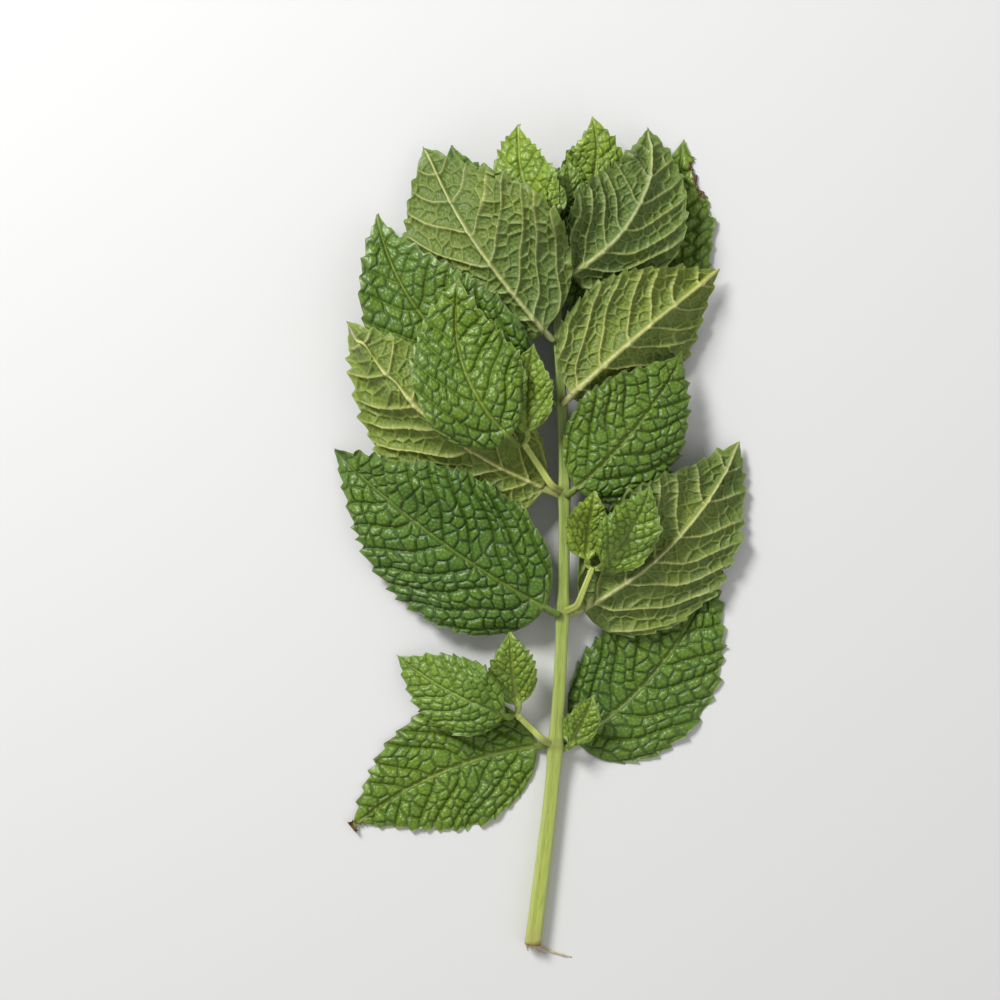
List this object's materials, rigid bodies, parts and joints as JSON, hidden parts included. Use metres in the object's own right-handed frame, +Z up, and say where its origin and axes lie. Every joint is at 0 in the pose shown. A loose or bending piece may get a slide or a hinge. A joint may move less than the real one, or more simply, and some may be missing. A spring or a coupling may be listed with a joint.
{
  "type": "mint sprig",
  "caption": "Cut sprig of fresh mint lying flat: one square green stem with pairs of toothed, veined leaves, short side shoots and a leafy tip.",
  "frame": {"origin": "on the table under the middle of the sprig's bounding box", "axes": "+Y along the stem from its cut end to the leafy tip, +Z straight up from the table, +X to the right seen from above"},
  "size_m": [0.086, 0.1732, 0.0206],
  "materials": {
    "stem_green": null,
    "leaf_upper_green": null,
    "leaf_under_green": null,
    "young_leaf_green": null
  },
  "bodies": {
    "root": {"stem": "stem_green", "side_shoot_left": "stem_green", "side_shoot_right": "stem_green", "side_shoot_low": "stem_green", "leaf_1_left": "leaf_upper_green", "leaf_1_right": "leaf_upper_green", "leaf_5_right": "leaf_upper_green", "leaf_6_left": "leaf_upper_green", "leaf_7_right": "young_leaf_green", "tip_leaf_left": "young_leaf_green", "tip_leaf_right": "young_leaf_green", "leaf_7_left": "young_leaf_green", "leaf_6_right": "leaf_under_green", "leaf_5_left": "leaf_under_green", "leaf_4_right": "leaf_under_green", "leaf_4_left": "leaf_upper_green", "leaf_3_right": "leaf_upper_green", "leaf_3_left": "leaf_under_green", "shoot_left_leaf_small": "young_leaf_green", "shoot_left_leaf_large": "leaf_upper_green", "leaf_2_left": "leaf_upper_green", "leaf_2_right": "leaf_under_green", "shoot_right_leaf_small": "young_leaf_green", "shoot_right_leaf_large": "young_leaf_green", "shoot_low_leaf_small": "young_leaf_green", "shoot_low_leaf_large": "young_leaf_green", "axil_leaf_right": "young_leaf_green"}
  },
  "joints": []
}
